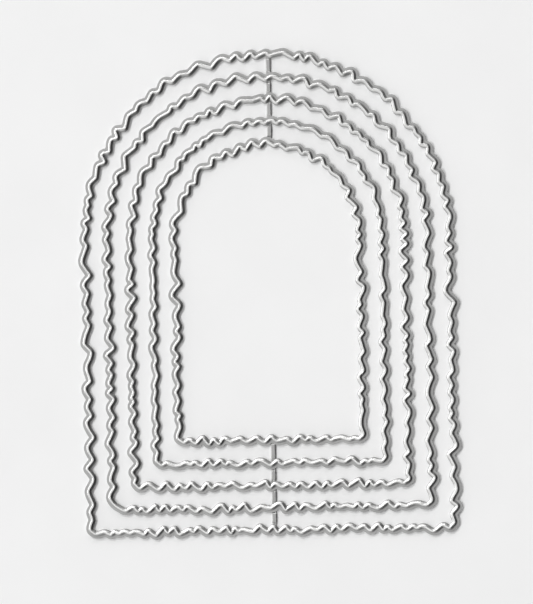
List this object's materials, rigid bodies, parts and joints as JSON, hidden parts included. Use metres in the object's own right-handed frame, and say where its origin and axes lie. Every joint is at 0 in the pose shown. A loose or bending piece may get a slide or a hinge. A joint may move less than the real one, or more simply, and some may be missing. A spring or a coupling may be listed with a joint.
{
  "type": "nested cutting die",
  "caption": "Thin etched steel cutting dies: nested arches with torn, wavy blades on narrow flanges, joined by bridges on the centre line; cuts arch shapes from card.",
  "frame": {"origin": "middle of the outline, on the flat back of the sheet", "axes": "+Y from the straight bottom lines to the curved tops, +Z from the back to the cutting edges"},
  "size_m": [0.1018, 0.1312, 0.0009],
  "materials": {
    "etched_steel": "satin, etched"
  },
  "bodies": {
    "root": {"die_sheet": "etched_steel"}
  },
  "joints": []
}
